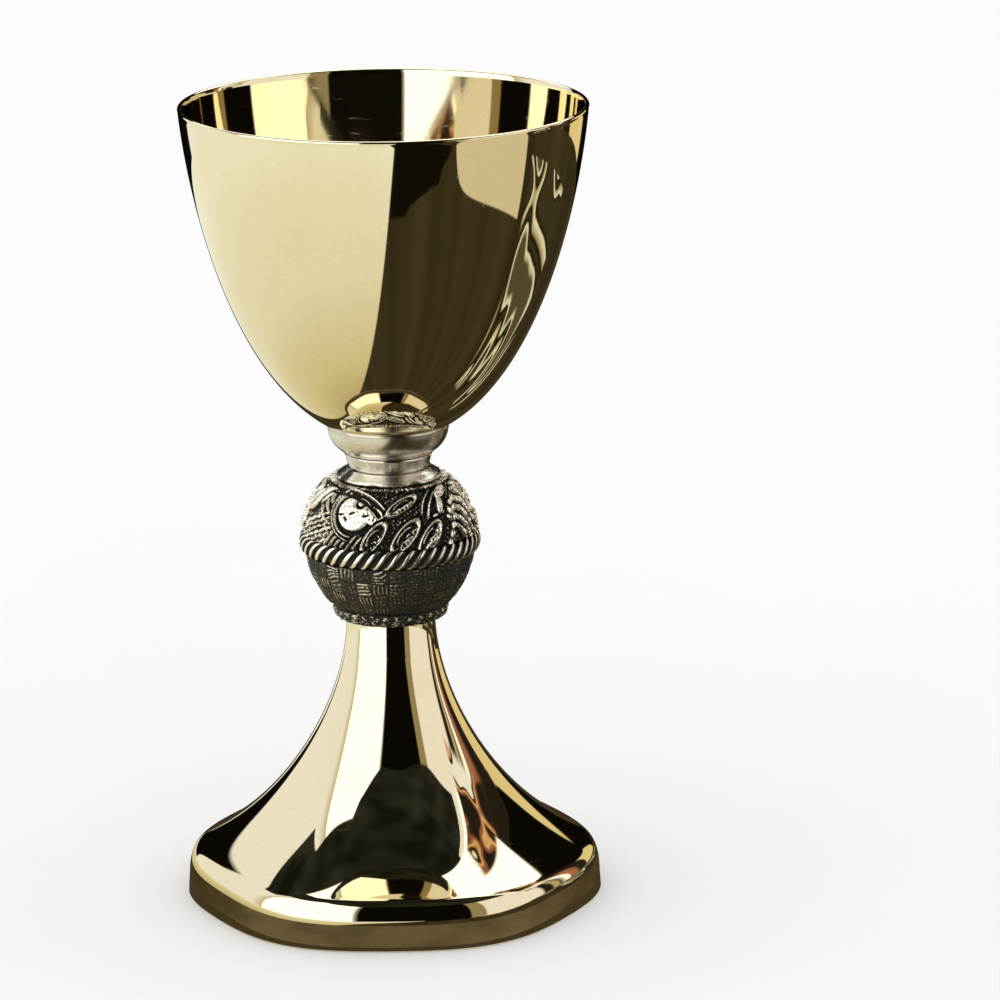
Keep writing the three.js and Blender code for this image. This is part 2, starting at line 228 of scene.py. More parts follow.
def above(tree, value, edge, soft):
    """0 where the value is below the edge, 1 above it, with a soft step between."""
    low = edge - soft if isinstance(edge, (int, float)) else sums(tree, "SUBTRACT", edge, soft)
    high = edge + soft if isinstance(edge, (int, float)) else sums(tree, "ADD", edge, soft)
    inputs = {"Value": value, "From Min": low, "From Max": high}
    return add(tree, "ShaderNodeMapRange", inputs, interpolation_type="SMOOTHSTEP").outputs["Result"]


def between(tree, value, low, high, soft):
    return sums(tree, "SUBTRACT", above(tree, value, low, soft), above(tree, value, high, soft))


def ramp(tree, factor, stops):
    """A colour ramp; each stop is (position, colour)."""
    made = add(tree, "ShaderNodeValToRGB", {"Fac": factor})
    while len(made.color_ramp.elements) < len(stops):
        made.color_ramp.elements.new(1)
    for element, (position, colour) in zip(made.color_ramp.elements, stops):
        element.position = position
        element.color = (*colour, 1)
    return made.outputs["Color"]


def grey(value):
    return (value, value, value)


def mixed(tree, factor, first, second, blend="MIX"):
    """Two colours mixed; the second may be three plain numbers."""
    second = (*second, 1) if isinstance(second, tuple) else second
    inputs = {0: factor, 6: first, 7: second}
    return add(tree, "ShaderNodeMix", inputs, data_type="RGBA", blend_type=blend).outputs[2]


def place(tree, stretch=(1, 1, 1), lean=(0, 0, 0)):
    """Coordinates fixed to the object, in metres times the stretch on each axis, then leaned over."""
    where = add(tree, "ShaderNodeTexCoord").outputs["Object"]
    inputs = {"Vector": where, "Rotation": lean, "Scale": stretch}
    return add(tree, "ShaderNodeMapping", inputs).outputs["Vector"]


def parts(tree):
    """The plain coordinates one by one: x, y and z."""
    return add(tree, "ShaderNodeSeparateXYZ", {0: place(tree)}).outputs


def joined(tree, x, y, z=0.0):
    return add(tree, "ShaderNodeCombineXYZ", {0: x, 1: y, 2: z}).outputs[0]


def noise(tree, where, scale, detail=4.0, roughness=0.55, distortion=0.0):
    inputs = {"Vector": where, "Scale": scale, "Detail": detail, "Roughness": roughness}
    return add(tree, "ShaderNodeTexNoise", {**inputs, "Distortion": distortion}).outputs["Fac"]


def off_axis(tree, x, y):
    """Distance from the axis."""
    return sums(tree, "SQRT", sums(tree, "MULTIPLY_ADD", x, x, both(tree, y, y)))


def turned_lines(tree, scale):
    """Fine rings round the axis, as a lathe leaves: noise that changes in radius and height only."""
    x, y, z = parts(tree)
    return noise(tree, joined(tree, off_axis(tree, x, y), 0.0, z), scale, 3.0, 0.6)


def new_material(name):
    made = bpy.data.materials.new(name)
    made.use_nodes = True
    made.node_tree.nodes.clear()
    return made, made.node_tree


def bumped(tree, height, strength, depth, inputs=None):
    """The surface's normal with a height map on it, its depth in millimetres."""
    inputs = {"Strength": strength, "Distance": depth * MM, "Height": height, **(inputs or {})}
    return add(tree, "ShaderNodeBump", inputs).outputs["Normal"]


def metal_surface(tree, tone, rough, normal, metallic=1.0, more=None):
    inputs = {"Base Color": tone, "Metallic": metallic, "Roughness": rough, "Normal": normal, **(more or {})}
    shader = add(tree, "ShaderNodeBsdfPrincipled", inputs)
    add(tree, "ShaderNodeOutputMaterial", {"Surface": shader.outputs[0]})


def hairlines(tree, lean, scale, sharp):
    """Straight wiping scratches that all lie one way: long thin streaks, 0 to 1."""
    streaks = noise(tree, place(tree, (0.04, 1, 1), lean), scale, 2.0, 0.7)
    return ramp(tree, streaks, [(sharp, grey(0)), (sharp + 0.07, grey(1))])


def tapered(tree, start, end, top, lean):
    """A normal that leans upwards more and more from start to end, as on a taper, and stops at the top."""
    z = parts(tree)[2]
    inputs = {"Value": z, "From Min": start, "From Max": end, "To Min": 0.0, "To Max": -math.tan(lean)}
    slope = add(tree, "ShaderNodeMapRange", inputs).outputs["Result"]
    rise = sums(tree, "MAXIMUM", sums(tree, "SUBTRACT", z, start), 0.0)
    height = both(tree, slope, sums(tree, "MINIMUM", rise, top - start))
    return bumped(tree, height, 1.0, 1 / MM)


def gold_plate():
    """Mirror-polished pale gold over brass, with smudges, turning lines and wiping scratches."""
    made, tree = new_material("gold_plate")
    smudge = noise(tree, place(tree), 22.0, 4.0, 0.6, 0.8)
    speck = noise(tree, place(tree), 900.0, 2.0)
    tone = ramp(tree, smudge, [(0.3, (0.85, 0.765, 0.54)), (0.7, (0.88, 0.805, 0.60))])
    tone = mixed(tree, 0.05, tone, ramp(tree, speck, [(0.35, grey(0.35)), (0.5, grey(1.0))]), "MULTIPLY")
    one_way = hairlines(tree, (0.2, 0.5, 0.6), 420.0, 0.66)
    other_way = hairlines(tree, (0.9, -0.3, 2.1), 520.0, 0.67)
    scratches = mixed(tree, 0.5, one_way, other_way, "ADD")
    rough = ramp(tree, smudge, [(0.3, grey(0.02)), (0.62, grey(0.035)), (0.8, grey(0.075))])
    rough = mixed(tree, 0.06, rough, scratches, "ADD")
    rings = turned_lines(tree, 1800.0)
    height = sums(tree, "MULTIPLY_ADD", scratches, 0.35, both(tree, rings, 0.25))
    stem = tapered(tree, *[z * MM for z in STEM_TAPER], math.radians(STEM_LEAN))
    metal_surface(tree, tone, rough, bumped(tree, height, 0.02, 0.02, {"Normal": stem}))
    return made


def satin_silver():
    """Satin silver plate with turning lines round it and a warm, uneven tarnish."""
    made, tree = new_material("satin_silver")
    lines = turned_lines(tree, 5200.0)
    cloud = noise(tree, place(tree), 120.0, 5.0, 0.6)
    tarnish, silver, bright = (0.62, 0.57, 0.50), (0.76, 0.73, 0.68), (0.84, 0.82, 0.78)
    tone = ramp(tree, cloud, [(0.3, tarnish), (0.52, silver), (0.72, bright)])
    tone = mixed(tree, 0.35, tone, ramp(tree, lines, [(0.3, grey(0.55)), (0.6, grey(1))]), "MULTIPLY")
    rough = ramp(tree, lines, [(0.3, grey(0.27)), (0.7, grey(0.18))])
    stretched = {"Anisotropic": 0.7, "Anisotropic Rotation": 0.25}
    metal_surface(tree, tone, rough, bumped(tree, lines, 0.15, 0.03), more=stretched)
    return made


def antique_silver(name, rubbed, dark, middle, bright):
    """Oxidised silver: dark in the recesses, and bright above the relief height called rubbed."""
    made, tree = new_material(name)
    height = add(tree, "ShaderNodeAttribute", attribute_name="relief").outputs["Fac"]
    pits = noise(tree, place(tree), 1500.0, 4.0, 0.7)
    cloud = noise(tree, place(tree), 160.0, 4.0, 0.6)
    ragged = sums(tree, "MULTIPLY_ADD", sums(tree, "SUBTRACT", pits, 0.5), 0.5, height)
    ragged = sums(tree, "MULTIPLY_ADD", sums(tree, "SUBTRACT", cloud, 0.5), 0.35, ragged)
    tone = ramp(tree, ragged, [(rubbed - 0.22, dark), (rubbed, middle), (rubbed + 0.16, bright)])
    rough = ramp(tree, ragged, [(rubbed - 0.2, grey(0.62)), (rubbed + 0.2, grey(0.22))])
    metallic = ramp(tree, ragged, [(rubbed - 0.25, grey(0.55)), (rubbed, grey(1))])
    metal_surface(tree, tone, rough, bumped(tree, pits, 0.5, 0.12), metallic)
    return made


def machined(name, low, high, roughness):
    """Plain machined metal: tool rings and dull patches."""
    made, tree = new_material(name)
    lines = turned_lines(tree, 3000.0)
    cloud = noise(tree, place(tree), 260.0, 5.0, 0.65)
    tone = ramp(tree, cloud, [(0.35, low), (0.65, high)])
    tone = mixed(tree, 0.25, tone, ramp(tree, lines, [(0.35, grey(0.6)), (0.6, grey(1))]), "MULTIPLY")
    rough = ramp(tree, cloud, [(0.3, grey(roughness + 0.12)), (0.7, grey(roughness - 0.05))])
    metal_surface(tree, tone, rough, bumped(tree, lines, 0.3, 0.05))
    return made


# ---------------------------------------------------------------- cup and its seat

def cup_profile(low, high):
    """Up the outside from the axis, over a rounded lip and down the inside."""
    base, top, radius = low.z, high.z, high.x
    belly = (CUP_BELLY[0], base + CUP_BELLY[1])
    shoulder = (CUP_SHOULDER[0], base + CUP_SHOULDER[1])
    outside = bezier([(0, base), belly, shoulder, (radius, top)], 110)
    inside = offset(outside, CUP_WALL)[::-1]
    inside[-1, 0] = 0
    lip = CUP_WALL / 2
    outside = outside[outside[:, 1] < top - lip]
    inside = inside[inside[:, 1] < top - lip]
    crown = arc((radius - lip, top - lip), (lip, lip), 0, 180, 10)
    return np.concatenate([outside, crown, inside])


def make_cup(gold):
    low, high = node_box("cup_bowl")
    grid = revolve(cup_profile(low, high), ROUND)
    piece("cup", grid, "cup_bowl", gold, closed=False, crease=80)


def make_seat(silver):
    """The collar that the cup sits in: bored out to the cup's curve, with a fine step near its foot."""
    cup_low, cup_high = node_box("cup_bowl")
    low, high = node_box("seat_collar")
    neck = node_box("neck_ring")[1].x
    foot, bore, lip = neck + 0.4, 8.6, 0.8
    under = offset(cup_profile(cup_low, cup_high)[:60], -GAP)
    seat = under[(under[:, 0] > bore) & (under[:, 0] < high.x - 0.5)]
    groove = high.z - lip
    controls = [(foot, low.z + 0.3), (COLLAR_BELLY[0], low.z + COLLAR_BELLY[1]), (high.x - 0.15, groove)]
    belly = bezier(controls, 24)
    step = belly[3]
    outline = np.concatenate(
        [
            [(bore, low.z), (foot - 0.3, low.z)],
            belly[:3],
            [step + (-0.16, 0.04), step + (-0.14, 0.2)],
            belly[4:],
            [(high.x - 0.28, groove + 0.1), (high.x - 0.26, groove + 0.2), (high.x, groove + 0.32)],
            arc((high.x - 0.2, high.z - 0.2), 0.2, 0, 90, 5),
            seat[::-1],
        ]
    )
    piece("collar", revolve(outline, SILVER_ROUND), "seat_collar", silver, crease=30)


def make_neck(silver):
    """The slightly tapered ring under the collar, with a bead at its foot."""
    low, high = node_box("neck_ring")
    foot, bore = high.x - 0.8, 5.9
    bead = [(foot - 0.5, low.z), (foot + 0.05, low.z + 0.5), (foot - 0.2, low.z + 0.62)]
    side = [(foot - 0.1, low.z + 0.8), (high.x - 0.2, high.z - 0.5), (high.x, high.z - 0.4)]
    outline = rounded([(bore, low.z), *bead, *side, (high.x - 0.1, high.z), (bore, high.z)], 0.08)
    piece("neck_band", revolve(outline, SILVER_ROUND), "neck_ring", silver, crease=30)


# ---------------------------------------------------------------- knop

def relief_angles():
    """The columns of a cast piece, as angles from the front in radians."""
    return (np.arange(RELIEF_ROUND) + 0.5) * TURN / RELIEF_ROUND - math.pi


class Skin:
    """The knop's round skin as a grid: angles from the front and latitudes, both in degrees, and heights.

    A height is 0 in a recess and about 1 on the rubbed parts."""

    def __init__(self, radius, low, high, rows):
        self.radius = radius
        latitude = np.degrees(np.linspace(self.latitude(low), self.latitude(high), rows))
        self.angle, self.lat = np.meshgrid(np.degrees(relief_angles()), latitude)
        self.height = np.zeros_like(self.lat)

    def latitude(self, z):
        return math.asin((z - KNOP_CENTRE) / self.radius)

    def local(self, angle, z, lean):
        """Distances along and across a motif that leans from the level; it comes twice round the knop."""
        at_lat = math.degrees(self.latitude(z))
        turned = (self.angle - angle + 90) % 180 - 90
        side = np.radians(turned) * self.radius * np.cos(np.radians(self.lat))
        up = np.radians(self.lat - at_lat) * self.radius
        lean = math.radians(lean)
        return side * math.cos(lean) + up * math.sin(lean), up * math.cos(lean) - side * math.sin(lean)

    def span(self, start, end):
        """Distances along and across the line between two places (angle, height), and half its length."""
        angle, z = (start[0] + end[0]) / 2, (start[1] + end[1]) / 2
        side = math.radians(end[0] - start[0]) * self.radius * math.cos(self.latitude(z))
        up = (self.latitude(end[1]) - self.latitude(start[1])) * self.radius
        along, across = self.local(angle, z, math.degrees(math.atan2(up, side)))
        return along, across, math.hypot(side, up) / 2

    def raise_to(self, height):
        self.height = np.maximum(self.height, height)

    def cut(self, groove):
        self.height = self.height * (1 - groove)

    def points(self, base, lift):
        radius = base + self.height * lift
        lat = np.radians(self.lat)
        angle = from_front(np.radians(self.angle))
        return around(radius * np.cos(lat), KNOP_CENTRE + radius * np.sin(lat), angle)


def waves(angle, lat, seed, finest):
    """Smooth seeded unevenness that closes on itself round the axis, about -1 to 1."""
    draw = np.random.default_rng(seed)
    total = np.zeros_like(angle)
    count = 26
    for _ in range(count):
        turns = draw.integers(3, finest)
        rise = draw.uniform(-finest, finest)
        phase = draw.uniform(0, TURN)
        total += np.sin(np.radians(angle) * turns + np.radians(lat) * rise + phase)
    return total / math.sqrt(count)


def ring(distance, radius, width):
    """A soft ridge along a circle."""
    return np.exp(-(((distance - radius) / width) ** 2))


def line(skin, start, end, sag, width):
    """A tapering line between two places, bowed to the left of its travel by sag: 1 on it, 0 off it."""
    along, across, half = skin.span(start, end)
    bowed = across - sag * (1 - (along / half) ** 2)
    taper = np.clip(1 - np.abs(along / half) ** 4, 0, 1)
    return np.exp(-((bowed / (width * np.sqrt(taper) + 0.01)) ** 2)) * (taper > 0)


def oval(skin, angle, z, lean, length, width):
    """How far out each point is from the middle of an oval: 1 on its edge."""
    along, across = skin.local(angle, z, lean)
    return np.sqrt((along / length) ** 2 + (across / width) ** 2)


def mound(out, height, edge=0.2):
    """A flat-topped boss with a rounded edge, from a distance that is 1 on the edge."""
    return height * np.sqrt(np.clip((1 - out) / edge, 0, 1))


def loaf(skin, start, end, width, crumb, grain):
    """A long loaf: a crust, doubled on its upper side, round a rough crumb."""
    along, across, half = skin.span(start, end)
    out = np.sqrt((along / half) ** 2 + (across / width) ** 2)
    skin.height = np.where(out < 1.22, 0.05, skin.height)
    skin.raise_to(1.2 * ring(out, 0.92, 0.19) * (out < 1.2))
    upper = np.clip(across / width + 0.35, 0, 1)
    skin.raise_to(1.15 * ring(out, 0.52, 0.15) * upper)
    inside = np.clip((0.8 - out) / 0.1, 0, 1) * np.clip(0.1 - across / width, 0, 0.4) / 0.4
    skin.raise_to(inside * (crumb + 0.35 * grain))


def scales(skin, grain):
    """The fish's flank and belly: short dashes in rows, shifted a little by the casting's grain."""
    along, across = skin.local(-58, 107, 24)
    out = np.sqrt((along / 8.6) ** 2 + (across / 4.6) ** 2)
    row = across / 1.45 + 0.22 * grain
    dash = along / 2.7 + 0.5 * np.floor(row) + 0.25 * grain
    lattice = np.abs(np.sin(row * math.pi)) ** 0.8 * (0.35 + 0.65 * np.abs(np.sin(dash * math.pi)) ** 0.6)
    skin.raise_to(np.where(out < 1, 0.1 + 0.95 * lattice, 0))


def fish(skin, grain):
    """A fish in profile with its head to the right: fin, flank, gill cover, ringed eye and small mouth."""
    scales(skin, grain)
    skin.raise_to(mound(oval(skin, -71, 114.6, 42, 6.6, 2.6), 1.15))
    for low, high in (((-60, 113.4), (-47, 109.8)), ((-57, 115.3), (-46, 111.9)), ((-53, 117), (-46, 114))):
        skin.raise_to(1.1 * line(skin, low, high, -0.9, 0.5))
    skin.cut(0.95 * line(skin, (-76, 109), (-57, 118), 0.2, 0.45))
    skin.cut(0.85 * line(skin, (-83, 110.5), (-68, 118), 0.3, 0.28))
    for step in range(6):
        foot = -48 + 4.6 * step
        skin.raise_to(1.1 * line(skin, (foot, 102.6), (foot + 8, 107.6), 0.3, 0.42))
    along, across = skin.local(-26, 112.9, 0)
    away = np.hypot(along, across)
    bearing = np.degrees(np.arctan2(across, -along))
    gill = np.clip((82 - np.abs(bearing + 8)) / 12, 0, 1)
    skin.height = np.where((away < 8.3) & (gill > 0), 0.1, skin.height)
    skin.raise_to(1.15 * ring(away, 6.55, 0.42) * gill)
    skin.raise_to(0.85 * ring(away, 7.75, 0.3) * gill)
    head = np.minimum(away / 5.15, oval(skin, -11.5, 112.6, -32, 5.2, 2.6))
    skin.height = np.where(head < 1.14, 0.04, skin.height)
    skin.raise_to(mound(head, 1.25, 0.12))
    skin.raise_to(1.2 * line(skin, (-52, 118.4), (4, 112.6), 3.1, 0.5))
    skin.cut(line(skin, (-54, 117), (-1, 110.8), 3.3, 0.55))
    eye = np.hypot(along - 1.35, across - 2.9)
    skin.height = skin.height - 1.15 * ring(eye, 1.15, 0.36)
    for angle, z, lean in ((-36, 112.2, 10), (-31.5, 111.3, -50), (-27, 112.8, 25), (-16.5, 112.4, 12)):
        skin.cut(0.95 * mound(oval(skin, angle, z, lean, 0.95, 0.34), 1))


def sprays(skin):
    """Leaves and folds between the last loaf and the sheaf: bright blades with black gaps."""
    for start, end in (((25.5, 112.6), (40, 118)), ((29.5, 111.4), (46, 117.8)), ((19, 118.2), (34, 118.8))):
        skin.raise_to(1.1 * line(skin, start, end, 0.9, 0.42))
    skin.raise_to(mound(oval(skin, 51, 117, 30, 2.9, 1.5), 1.2))
    skin.raise_to(mound(oval(skin, 44.2, 114.2, 72, 2.9, 0.95), 1.1))
    skin.raise_to(mound(oval(skin, 37.2, 111.7, 0, 0.75, 0.75), 1.1))
    skin.raise_to(mound(oval(skin, 85, 116, 0, 4.4, 2.3), 1.15))


def sheaf(skin, grain):
    """A bundle of stalks that lean one way, with a row of grains up its left side."""
    along, across = skin.local(72, 109.6, 122)
    lower = (skin.height < 1) & (np.abs(along) < 8.2) & (np.abs(across) < 7.4)
    bend = 0.55 * np.sin(along * 0.75 + across * 0.25) + 0.25 * waves(skin.angle, skin.lat, 6, 30)
    stalks = np.clip(1.7 * np.abs(np.sin((across + bend) * math.pi / 2.9)) - 0.45, 0, 1) + 0.06 * grain
    edge = np.clip((7.4 - np.abs(across)) * 2, 0, 1) * np.clip((8.2 - np.abs(along)) * 2, 0, 1)
    skin.height = np.where(lower, (0.02 + 1.1 * stalks) * edge, skin.height)
    for step in range(6):
        out = oval(skin, 45 + 3.4 * step, 104.2 + 2.1 * step, 65, 1.5, 0.85)
        skin.height = np.where(out < 1.3, 0, skin.height)
        skin.raise_to(mound(out, 1.1, 0.5))


def upper_relief(skin):
    """A fish, loaves, leaves and a sheaf that fill the band, twice round the knop."""
    grain = waves(skin.angle, skin.lat, 5, 150)
    skin.height = 0.22 + 0.16 * grain
    sheaf(skin, grain)
    sprays(skin)
    fish(skin, grain)
    loaf(skin, (-2, 112.9), (24.5, 117.2), 1.75, 0.9, grain)
    loaf(skin, (-17.5, 102.8), (-2.2, 111.2), 2.25, 0.55, grain)
    loaf(skin, (2, 103.2), (21.9, 111.6), 2.4, 0.8, grain)
    loaf(skin, (20.5, 102.6), (38.5, 110.6), 2.3, 1.2, grain)
    skin.cut(line(skin, (35.5, 103), (56, 116.8), 0.4, 0.75))
    skin.raise_to(0.95 * line(skin, (-8, 111.4), (2.5, 113.6), 0.2, 0.35))
    rim = np.clip((skin.lat - 48.0) / 1.2, 0, 1)
    skin.height = np.maximum(skin.height, rim * (0.85 + 0.25 * grain))
    skin.height = np.clip(skin.height + 0.05 * grain, 0, 1.3)


def basket_relief(skin):
    """Plain weave, cast soft and worn: level strands over one block, upright strands over the next."""
    blocks, tiers, strands = 30, 4, 4
    wander = waves(skin.angle, skin.lat, 41, 26)
    start, end = skin.lat.min(), skin.lat.max()
    across = skin.angle / 360 * blocks
    up = (skin.lat - start) / (end - start) * tiers + 0.07 * wander
    column, row = np.floor(across), np.floor(up)
    u, v = across - column, up - row
    draw = np.random.default_rng(3)
    shape = (blocks, tiers + 2)
    at = (column.astype(int) % blocks, np.clip(row.astype(int), -1, tiers) + 1)
    swapped = draw.random(shape)[at] < 0.22
    proud = draw.uniform(0.15, 1.0, shape)[at] ** 1.3
    level = ((column + row) % 2 == 0) ^ swapped
    lay, run = np.where(level, v, u), np.where(level, u, v)
    strand = np.abs(np.sin((lay * strands + 0.12 * wander) * math.pi))
    crown = np.sin(np.clip(run, 0.02, 0.98) * math.pi) ** 0.5
    edge = np.clip(np.minimum(u, 1 - u) * 14, 0, 1) * np.clip(np.minimum(v, 1 - v) * 10, 0, 1)
    skin.height = 0.25 + strand * crown * edge * proud * 0.75
    skin.height += 0.10 * waves(skin.angle, skin.lat, 12, 130)
    skin.height = np.clip(skin.height, 0, 1.1)


def worn(height, reach):
    """How proud each point stands of its surroundings, 0 to 1: what a polishing cloth touches."""
    width = 2 * reach
    nearby = height
    for axis, edge in ((1, "wrap"), (0, "edge")):
        pad = [(0, 0), (0, 0)]
        pad[axis] = (reach, reach)
        total = np.cumsum(np.pad(nearby, pad, mode=edge), axis=axis)
        upper = np.take(total, range(width, total.shape[axis]), axis=axis)
        lower = np.take(total, range(0, total.shape[axis] - width), axis=axis)
        nearby = (upper - lower) / width
    return np.clip(0.5 * height + 0.9 * (height - nearby) + 0.15, 0, 1)


def cast_piece(name, outer, wear, lining, node, look, crease):
    """A cast skin closed by a plain lining inside it; the lining counts as unrubbed."""
    lining = np.array(lining)
    inner = around(lining[:, :1], lining[:, 1:], from_front(relief_angles()))
    wear = np.concatenate([wear, np.full(inner.shape[:2], UNRUBBED)])
    piece(name, np.concatenate([outer, inner]), node, look, wear, crease=crease)


def make_upper_knop(look):
    """The knop's upper half: the relief over a plain hollow."""
    low, high = node_box("knop_upper_shell")
    relief = 1.5
    skin = Skin(UPPER_RADIUS, low.z, high.z, 118)
    upper_relief(skin)
    outer = skin.points(UPPER_RADIUS - relief * 0.9, relief)
    outer[..., 2] = np.clip(outer[..., 2], low.z, high.z)
    hollow = UPPER_RADIUS - KNOP_WALL - relief
    top = high.z - KNOP_WALL
    bend = [math.degrees(math.asin((z - KNOP_CENTRE) / hollow)) for z in (top, low.z)]
    bore = 12.6
    lining = np.concatenate([[(bore, high.z), (bore, top)], arc((0, KNOP_CENTRE), hollow, *bend, 6)])
    cast_piece("knop_relief", outer, worn(skin.height, 7), lining, "knop_upper_shell", look, 75)


def make_basket(look):
    """The knop's lower half: basket weave, with a thin upstand inside the rope."""
    low, high = node_box("knop_lower_shell")
    relief = 0.55
    ledge = node_box("knop_rope_band")[0].z - GAP
    upstand, sheet = node_box("knop_rope_band")[1].x - 3.3, 1.2
    skin = Skin(LOWER_RADIUS, low.z, ledge, 96)
    basket_relief(skin)
    outer = skin.points(LOWER_RADIUS - relief * 0.7, relief)
    outer[..., 2] = np.clip(outer[..., 2], low.z, ledge)
    hollow = LOWER_RADIUS - KNOP_WALL - relief
    floor = low.z + KNOP_WALL
    bend = [math.degrees(math.asin((z - KNOP_CENTRE) / hollow)) for z in (ledge - KNOP_WALL, floor)]
    bore = 8
    lining = np.concatenate(
        [
            [(upstand, ledge), (upstand, high.z), (upstand - sheet, high.z), (upstand - sheet, ledge)],
            arc((0, KNOP_CENTRE), hollow, *bend, 6),
            [(bore, floor), (bore, low.z)],
        ]
    )
    cast_piece("knop_basket", outer, worn(skin.height, 5), lining, "knop_lower_shell", look, 75)


def twisted_ring(section, count, shift, per_strand, bulge):
    """A ring of twisted strands laid round a closed section; each strand is its own rounded ridge.

    Returns the grid and how proud each point stands. The section runs once round in shift strands."""
    rows = len(section)
    columns = count * per_strand
    centre = section.mean(axis=0)
    over = (np.arange(columns) % per_strand + 0.5) / per_strand * 2 - 1
    ridge = np.clip(1 - np.abs(over) ** 1.6, 0, 1)
    drift = np.arange(rows) / rows * shift * TURN / count
    angle = np.arange(columns) * TURN / columns + drift[:, None]
    scale = 1 - bulge * (1 - ridge)[None]
    radius = centre[0] + (section[:, :1] - centre[0]) * scale
    z = centre[1] + (section[:, 1:] - centre[1]) * scale
    return around(radius, z, angle), np.broadcast_to(ridge, radius.shape)


def make_rope(look):
    """A cast rope of 46 strands round the knop's waist."""
    low, high = node_box("knop_rope_band")
    half_high = (high.z - low.z) / 2
    half_wide = 1.5
    section = arc((high.x - half_wide, low.z + half_high), (half_wide, half_high), 180, -180, 40)[:-1]
    count, shift, per_strand = 46, 3, 12
    grid, ridge = twisted_ring(section, count, -shift, per_strand, 0.46)
    rubbed_crest = np.clip((ridge - 0.58) * 2.4, 0, 0.85)
    # the section's last row joins its first a whole number of strands further on
    grid, wear = [
        np.concatenate([rows, np.roll(rows[:1], shift * per_strand, axis=1)]) for rows in (grid, rubbed_crest)
    ]
    piece("knop_rope", grid, "knop_rope_band", look, wear, closed=False, crease=55)


def make_braid(look):
    """A plaited ring under the basket: three tiers of short lobes, each tier half a lobe on."""
    low, high = node_box("knop_base_braid")
    stem = STEM_RADIUS + GAP
    basket_foot = node_box("knop_lower_shell")[0].z
    top = basket_foot - GAP
    recess = node_box("foot_shell")[1].z + GAP
    rows, lobes, tiers = 44, 31, 3
    angle = relief_angles()
    turn = np.linspace(0, 1, rows)[:, None]
    bulge = bezier([(high.x - 1.9, low.z), (high.x + 0.5, low.z + 0.2), (high.x + 0.2, top)], rows - 1)
    degrees = np.degrees(angle)[None] * np.ones_like(turn)
    wander = waves(degrees, turn * 60, 22, 34)
    up = turn * tiers + 0.25 * wander
    lay = degrees / 360 * lobes + 0.5 * np.floor(up) + 0.9 * turn + 0.22 * wander
    dash = np.abs(np.sin(lay * math.pi)) ** 1.2 * np.abs(np.sin(up * math.pi)) ** 0.6
    border = np.clip(turn * 9, 0, 1) * np.clip((1 - turn) * 9, 0, 1)
    height = (0.2 + 0.85 * dash) * border
    height += 0.12 * waves(degrees, turn * 60, 21, 120)
    depth = 0.8
    outer = around(bulge[:, :1] - depth + depth * height, bulge[:, 1:], from_front(angle))
    spigot = 7.7
    spigot_top = basket_foot + KNOP_WALL - GAP
    lining = [
        (high.x - 1.4, top), (spigot, top), (spigot, spigot_top), (ROD_BORE, spigot_top),
        (ROD_BORE, recess), (stem, recess), (stem, low.z),
    ]
    wear = worn(np.clip(height, 0, 1), 4)
    cast_piece("knop_braid", outer, wear, lining, "knop_base_braid", look, 70)


def make_shoulder(look):
    """The bell-shaped ring over the knop: rubbed smooth, with a grainy casting skin left in patches."""
    low, high = node_box("knop_shoulder_ring")
    foot = node_box("knop_upper_shell")[1].z + GAP
    neck = node_box("neck_ring")[1].x - 0.4
    rows = 34
    swell, waist = (high.x + 0.1, foot + 1.2), (neck + 0.7, high.z - 1.0)
    skin = bezier([(high.x - 0.3, foot), swell, waist, (neck, high.z)], rows - 1)
    angle = relief_angles()
    turn = np.linspace(0, 1, rows)[:, None]
    degrees = np.degrees(angle)[None] * np.ones_like(turn)
    patches = np.clip(waves(degrees, turn * 12, 31, 9) * 0.9 - 0.3, 0, 1)
    grain = waves(degrees, turn * 24, 33, 120)
    hem = np.clip((0.16 - turn) / 0.16, 0, 1)
    height = np.clip(0.9 + (0.15 + 0.35 * hem) * patches * grain - 0.2 * patches - 0.25 * hem, 0, 1.1)
    outer = around(skin[:, :1] - 0.35 + 0.4 * height, skin[:, 1:], from_front(angle))
    bore, spigot = 5.9, 12.3
    lining = [(bore, high.z), (bore, low.z), (spigot, low.z), (spigot, foot)]
    wear = height - 0.55 * patches - 0.2 * hem
    cast_piece("knop_shoulder", outer, wear, lining, "knop_shoulder_ring", look, 70)


# ---------------------------------------------------------------- foot

def make_foot(gold):
    """The spun foot: level edge, upright skirt, tight roll-over and a long flare up to the stem."""
    high = node_box("foot_shell")[1]
    radius, top = high.x, high.z
    edge = 0.4
    flare = bezier([FLARE_END, FLARE_HEEL, FLARE_NECK, (STEM_RADIUS, top - edge)], 110)
    roll = bezier([SKIRT_TOP, EDGE_ROLL, FLARE_END], 16)
    skirt = bezier([(radius, edge), SKIRT_TOP], 8)
    outside = np.concatenate([skirt, roll[1:], flare[1:]])
    inside = offset(outside, FOOT_WALL)[::-1]
    inside = inside[inside[:, 1] < top - FOOT_WALL - edge]
    hole, bevel = 4, 0.2
    profile = np.concatenate(
        [
            arc((radius - edge, edge), edge, -90, 0, 5)[:-1],
            outside,
            arc((STEM_RADIUS - edge, top - edge), edge, 0, 90, 5)[1:],
            [(hole + bevel, top), (hole, top - bevel), (hole, top - FOOT_WALL)],
            [(STEM_RADIUS - FOOT_WALL - edge, top - FOOT_WALL)],
            inside,
            [(radius - FOOT_WALL, 0)],
        ]
    )
    grid = six_sided(revolve(profile, ROUND))
    piece("foot", grid, "foot_shell", gold, crease=50)


